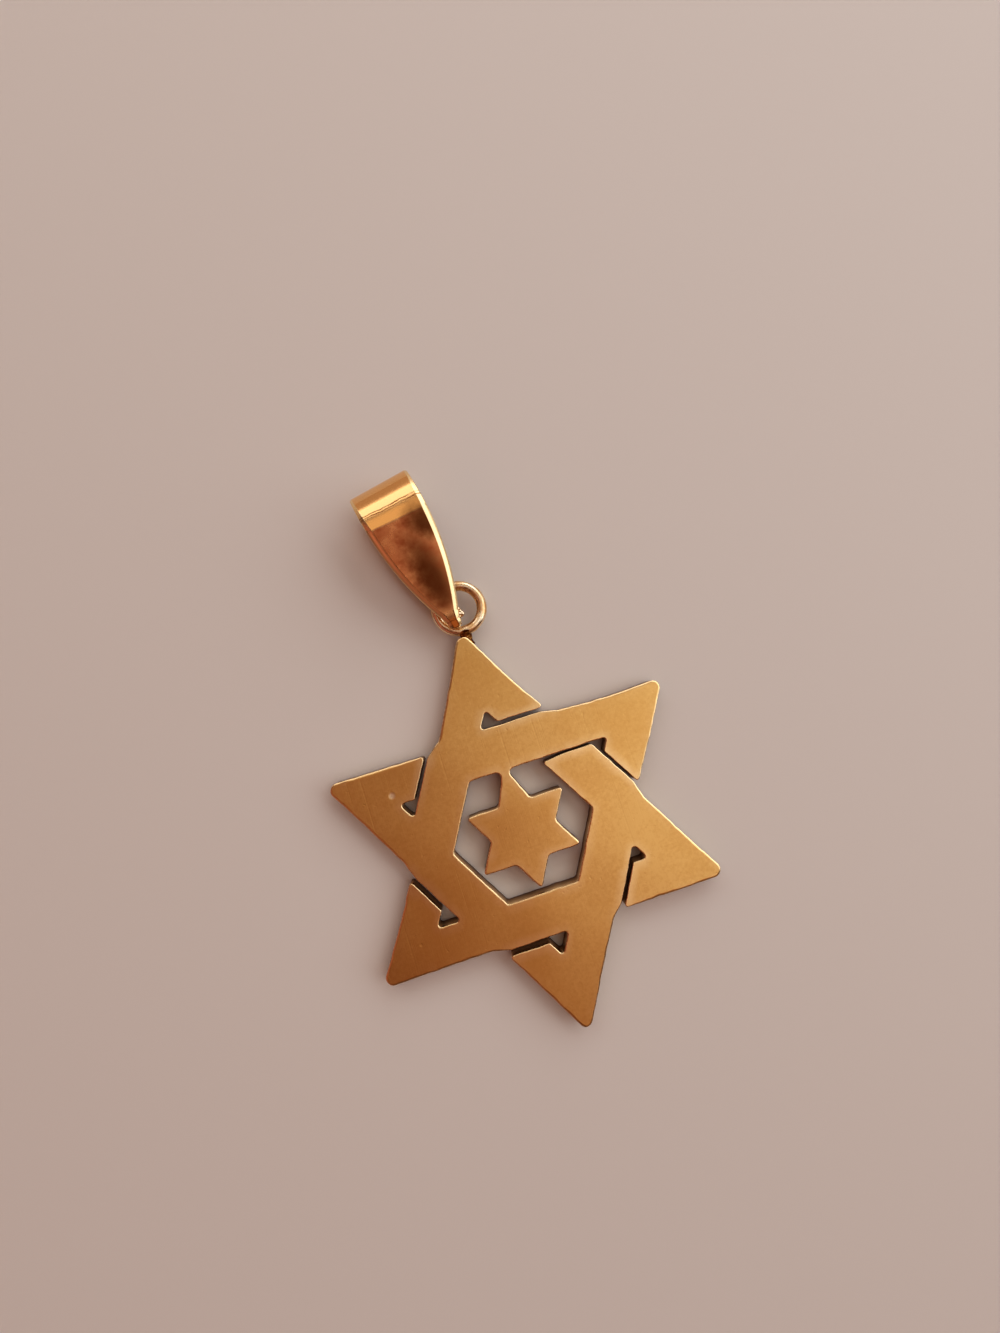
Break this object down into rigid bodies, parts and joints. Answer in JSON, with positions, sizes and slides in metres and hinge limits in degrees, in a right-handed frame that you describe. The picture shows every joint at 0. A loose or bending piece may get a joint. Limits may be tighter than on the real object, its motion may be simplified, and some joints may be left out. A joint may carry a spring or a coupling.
{
  "type": "star of david pendant with ribbon bail",
  "caption": "Flat sheet-metal Star of David with interlaced triangles sawn apart, a small star in its opening, a wire ring on its top point and a tapered folded ribbon bail.",
  "frame": {"origin": "centre of the large star on its flat back face, which is the plane the pendant lies on", "axes": "+Z out of the star's front face, +Y from the star's centre to its top point and the ring, +X to the right seen from the front"},
  "size_m": [0.022, 0.0364, 0.0038],
  "materials": {
    "gold_satin": "yellow gold, satin brushed, a little worn",
    "gold_polished": "yellow gold, polished, with fine scratches"
  },
  "bodies": {
    "root": {"star_with_ring": "gold_satin", "ribbon_bail": "gold_polished"}
  },
  "joints": []
}
